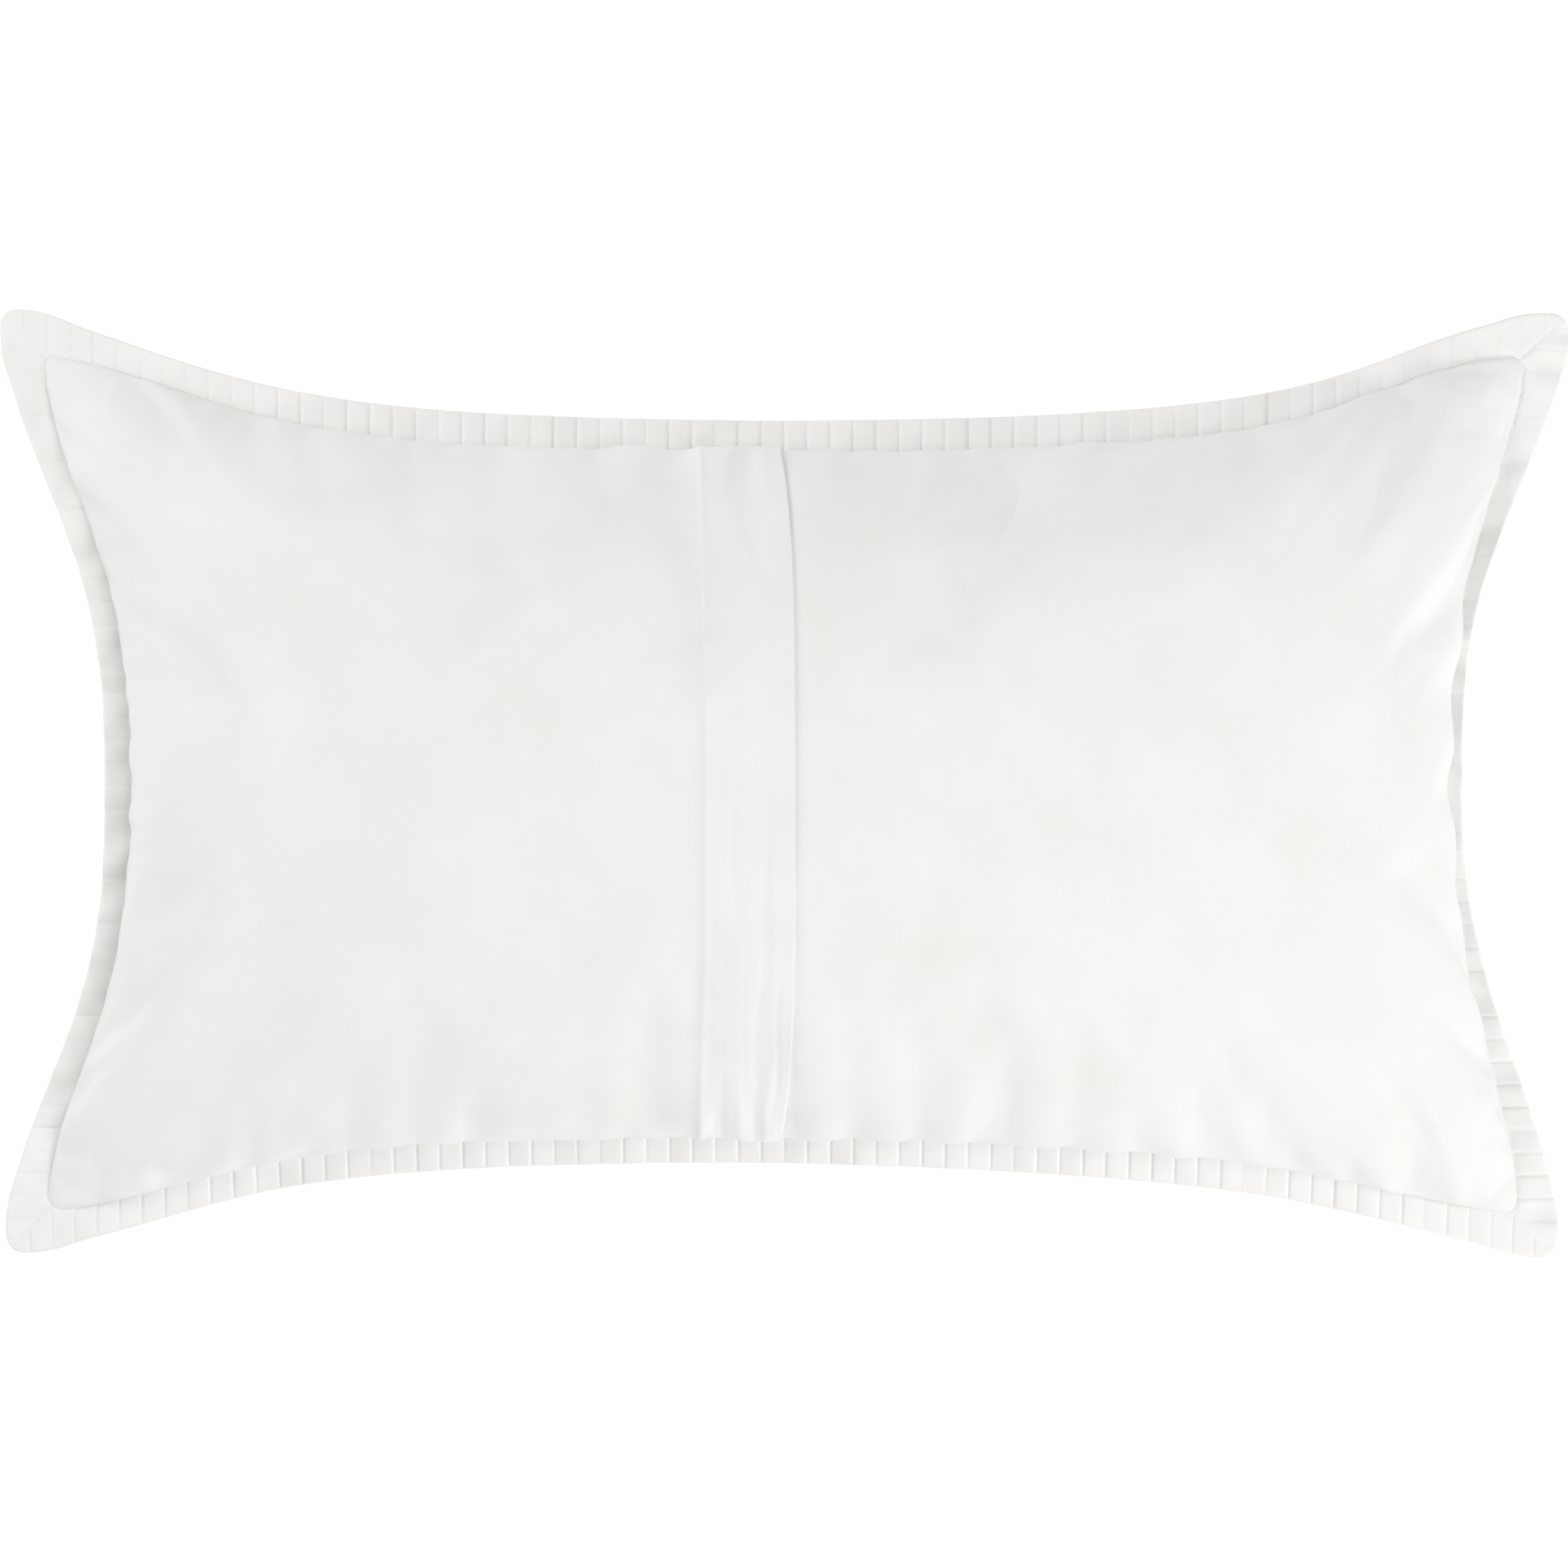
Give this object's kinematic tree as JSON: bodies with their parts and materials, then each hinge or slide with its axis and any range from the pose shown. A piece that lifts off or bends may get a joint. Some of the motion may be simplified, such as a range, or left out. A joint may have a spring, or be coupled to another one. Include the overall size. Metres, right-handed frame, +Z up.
{
  "type": "bed pillow",
  "caption": "Long flanged bed pillow: a filled insert in a smooth white cover with an envelope closure across its back and a channel-stitched, mitred flange all round.",
  "frame": {"origin": "bottom centre of the whole part, on the surface that the pillow lies on", "axes": "+X along the pillow's length, +Y across its width, +Z up, towards the closure side; the pillow lies on its plain front"},
  "size_m": [0.92, 0.556, 0.1906],
  "materials": {
    "cover_cloth": "white cotton sateen, soft low sheen",
    "flange_cloth": "white cotton sateen, quilted",
    "wadding": "thin white polyester wadding, matte",
    "ticking": "plain white cotton ticking, matte",
    "fibre_fill": "lofted white polyester fibre, matte",
    "thread": "white polyester sewing thread, slight sheen"
  },
  "bodies": {
    "pillow": {"fill_core": "fibre_fill", "insert_ticking_front": "ticking", "insert_ticking_back": "ticking", "insert_edge_seam": "thread", "front_panel": "cover_cloth", "back_panel_over": "cover_cloth", "back_panel_under": "cover_cloth", "flange_top_back_ply": "flange_cloth", "flange_top_wadding": "wadding", "flange_top_front_ply": "flange_cloth", "flange_bottom_back_ply": "flange_cloth", "flange_bottom_wadding": "wadding", "flange_bottom_front_ply": "flange_cloth", "flange_left_back_ply": "flange_cloth", "flange_left_wadding": "wadding", "flange_left_front_ply": "flange_cloth", "flange_right_back_ply": "flange_cloth", "flange_right_wadding": "wadding", "flange_right_front_ply": "flange_cloth", "channel_stitching_top": "thread", "channel_stitching_bottom": "thread", "channel_stitching_left": "thread", "channel_stitching_right": "thread", "seam_stitching": "thread", "mitre_stitching": "thread", "over_hem_stitching": "thread", "under_hem_stitching": "thread"},
    "flap": {"closure_flap": "cover_cloth"}
  },
  "joints": [
    {"name": "flap_open", "type": "hinge", "parent": "pillow", "child": "flap", "pos_m": [-0.05, 0, 0.1905], "axis": [0, -1, 0], "range_deg": [0, 40]}
  ]
}
